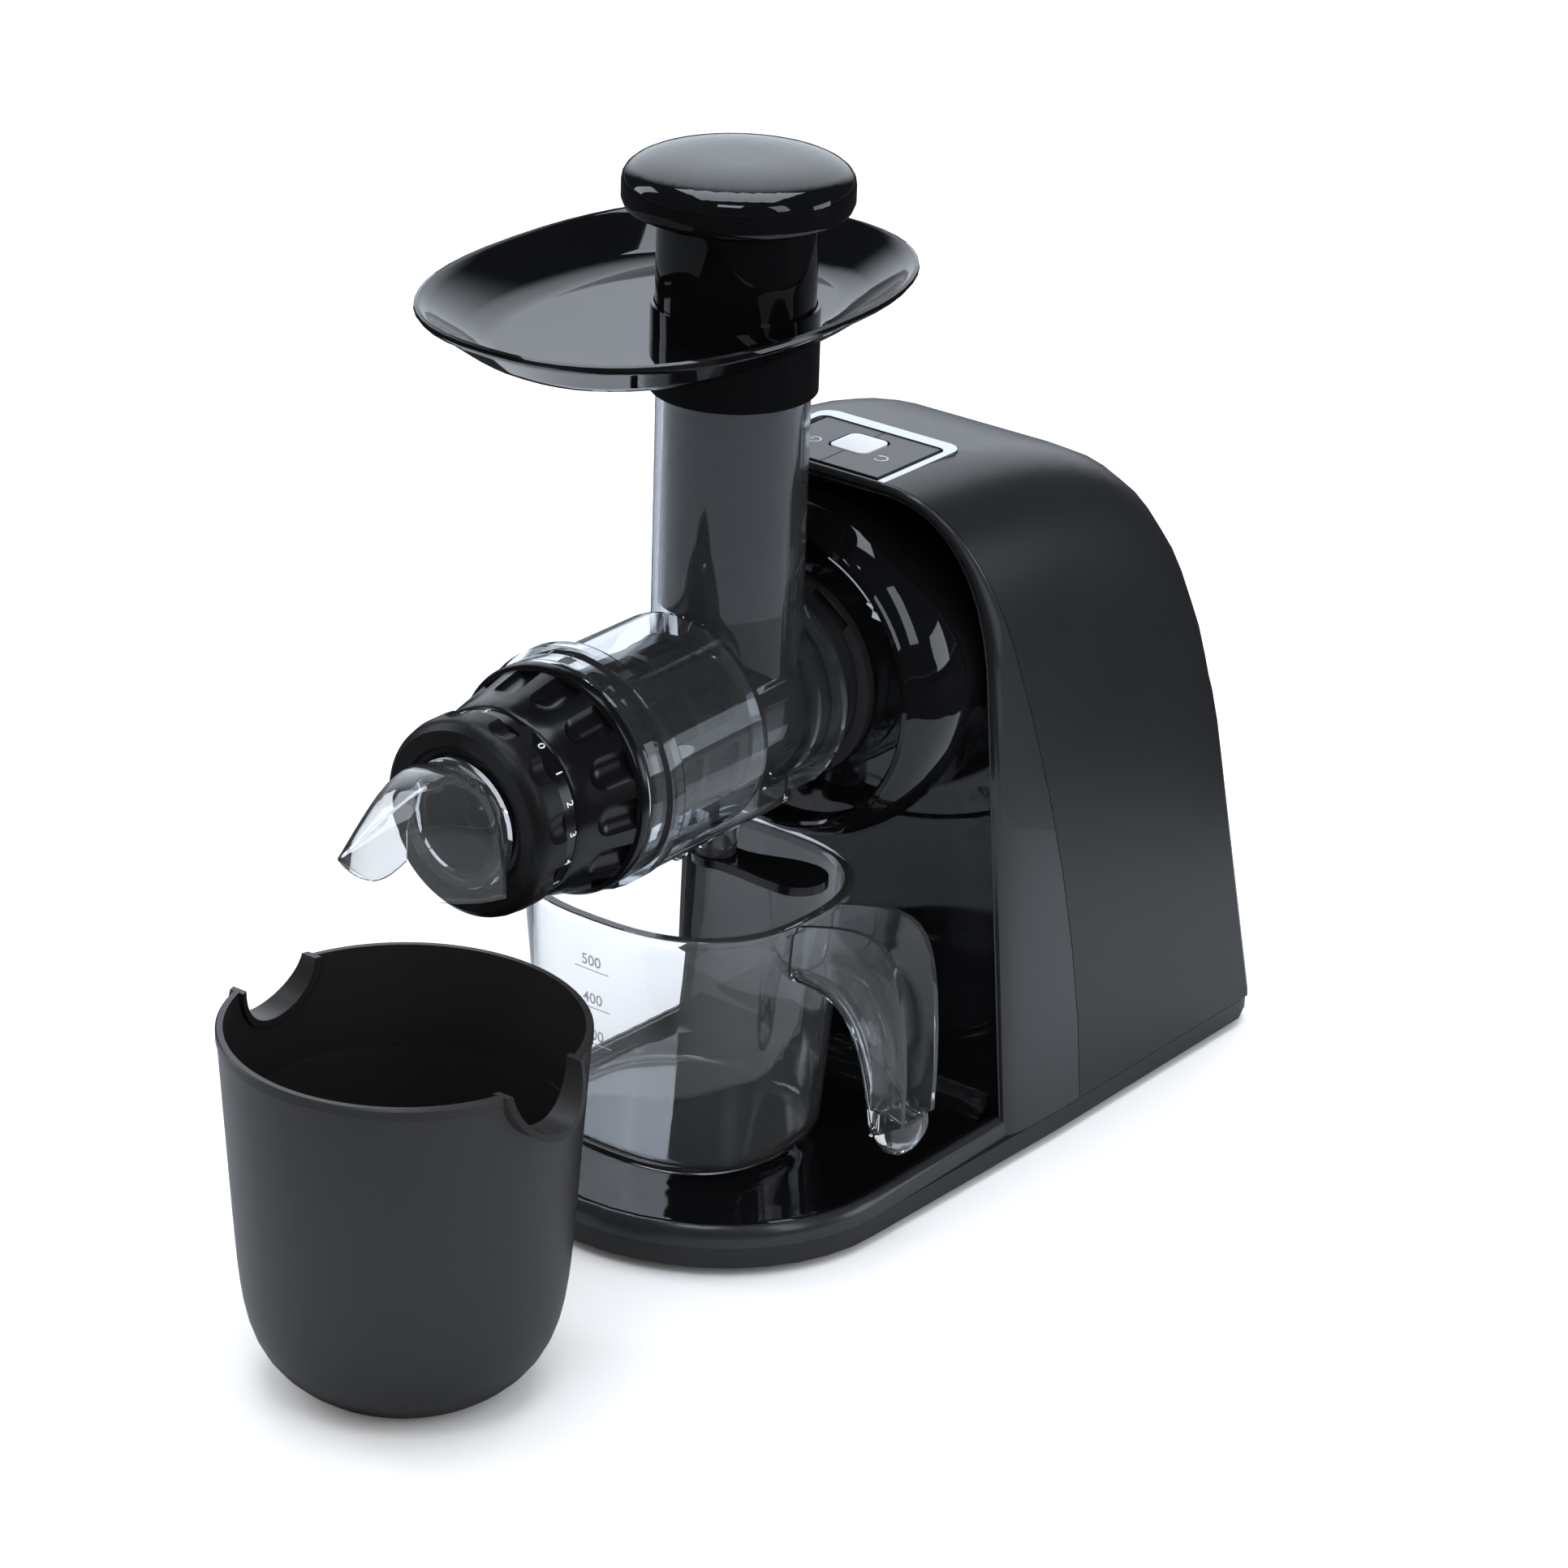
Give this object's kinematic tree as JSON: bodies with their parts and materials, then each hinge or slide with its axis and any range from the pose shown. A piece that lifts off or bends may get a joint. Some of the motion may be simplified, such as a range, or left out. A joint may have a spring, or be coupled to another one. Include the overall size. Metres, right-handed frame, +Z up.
{
  "type": "cold press juicer",
  "caption": "Slow juicer with a level auger: motor housing, clear juicing chamber and feed chute, tray with pusher, adjustable pulp outlet, jug and pulp container.",
  "frame": {"origin": "on the table, at the middle of the motor housing's footprint, in the plane of the auger axis", "axes": "+Z up, -Y towards the front where the pulp leaves, +X to the side of the jug's handle"},
  "size_m": [0.1881, 0.4876, 0.39],
  "materials": {
    "black_base": "fine matt black moulding",
    "rubber": "soft black",
    "steel_screw": "plated",
    "gloss_black": "high gloss black",
    "frame_black": "satin black",
    "body_black": "soft matt black",
    "rear_black": "soft matt black",
    "gland_black": "matt",
    "silver": "satin silver",
    "key_black": "satin black",
    "key_silver": "pale silver",
    "pressed_steel": "pressed",
    "shaft_steel": "ground",
    "brass": "plain",
    "gear_nylon": "natural nylon",
    "inner_black": "plain black moulding",
    "cast_plate": "die cast",
    "board": "board",
    "smoke_clear": "clear with a smoky tint",
    "silicone": "translucent",
    "auger_black": "polished black",
    "mesh_steel": "fine slotted sheet",
    "nut_black": "satin black",
    "dial_black": "matt black",
    "bush_black": "gloss black",
    "clear": "clear",
    "lever_black": "satin black",
    "plug_grey": "soft",
    "tray_black": "high gloss black",
    "jug_clear": "clear",
    "bin_black": "satin dark grey-black"
  },
  "bodies": {
    "housing": {"base_plate": "black_base", "rubber_feet": "rubber", "housing_screws": "steel_screw", "front_fascia": "gloss_black", "front_frame": "frame_black", "body_shell": "body_black", "rear_cover": "rear_black", "cord_gland": "gland_black", "panel_frame": "silver", "switch_block": "gland_black", "motor_bracket": "pressed_steel", "motor_can": "pressed_steel", "layshaft": "shaft_steel", "gearbox_plate": "cast_plate", "front_bearing": "brass", "rear_bearing": "brass", "bayonet_socket": "inner_black", "shaft_seal": "rubber", "control_board": "board"},
    "rocker": {"rocker_switch": "key_black", "rocker_inlay": "key_silver"},
    "motor_rotor": {"motor_shaft": "shaft_steel", "cooling_fan": "inner_black", "motor_pinion": "brass"},
    "layshaft_gear": {"compound_gear": "gear_nylon"},
    "auger_drive": {"output_gear": "gear_nylon", "drive_shaft": "shaft_steel", "auger": "auger_black", "auger_insert": "shaft_steel"},
    "chamber": {"juicing_chamber": "smoke_clear", "chamber_seal": "silicone", "juice_screen": "auger_black", "screen_mesh": "mesh_steel", "lever_pin": "steel_screw"},
    "nut": {"locking_nut": "nut_black", "pulp_spout": "clear"},
    "dial": {"adjusting_dial": "dial_black"},
    "bush": {"outlet_bush": "bush_black"},
    "lever": {"stop_lever": "lever_black", "outlet_plug": "plug_grey"},
    "tray": {"feed_tray": "tray_black"},
    "pusher": {"pusher_cap": "tray_black", "pusher_stem": "tray_black"},
    "jug": {"juice_jug": "jug_clear"},
    "bin": {"pulp_container": "bin_black"}
  },
  "joints": [
    {"name": "rocker_tilt", "type": "hinge", "parent": "housing", "child": "rocker", "pos_m": [0, -0.0116, 0.2624], "axis": [0, 1, 0], "range_deg": [-3, 3]},
    {"name": "auger_turn", "type": "hinge", "parent": "housing", "child": "auger_drive", "pos_m": [0, 0, 0.19], "axis": [0, 1, 0], "continuous": true},
    {"name": "layshaft_turn", "type": "hinge", "parent": "housing", "child": "layshaft_gear", "pos_m": [0, 0, 0.154], "axis": [0, 1, 0], "continuous": true},
    {"name": "motor_turn", "type": "hinge", "parent": "housing", "child": "motor_rotor", "pos_m": [0, 0, 0.118], "axis": [0, 1, 0], "continuous": true},
    {"name": "chamber_twist", "type": "hinge", "parent": "housing", "child": "chamber", "pos_m": [0, 0, 0.19], "axis": [0, 1, 0], "range_deg": [0, 35]},
    {"name": "nut_turn", "type": "hinge", "parent": "chamber", "child": "nut", "pos_m": [0, 0, 0.19], "axis": [0, 1, 0], "range_deg": [0, 40]},
    {"name": "dial_turn", "type": "hinge", "parent": "nut", "child": "dial", "pos_m": [0, 0, 0.19], "axis": [0, 1, 0], "range_deg": [0, 110]},
    {"name": "bush_slide", "type": "slide", "parent": "nut", "child": "bush", "axis": [0, 1, 0], "range_m": [0, 0.004]},
    {"name": "lever_swing", "type": "hinge", "parent": "chamber", "child": "lever", "pos_m": [-0.013, -0.0853, 0.13], "axis": [0, 1, 0], "range_deg": [0, 12]},
    {"name": "tray_lift", "type": "slide", "parent": "chamber", "child": "tray", "axis": [0, 0, 1], "range_m": [0, 0.025]},
    {"name": "pusher_lift", "type": "slide", "parent": "tray", "child": "pusher", "axis": [0, 0, 1], "range_m": [0, 0.115]},
    {"name": "jug_slide_out", "type": "slide", "parent": "housing", "child": "jug", "axis": [0.9945, 0, 0.1045], "range_m": [0, 0.15]},
    {"name": "bin_slide_out", "type": "slide", "parent": "housing", "child": "bin", "axis": [0, -0.9962, 0.0872], "range_m": [0, 0.15]}
  ],
  "couplings": [
    {"joint": "layshaft_turn", "follows": "auger_turn", "ratio": -5},
    {"joint": "motor_turn", "follows": "auger_turn", "ratio": 25},
    {"joint": "bush_slide", "follows": "dial_turn", "m_per_rad": 0.0020835}
  ]
}
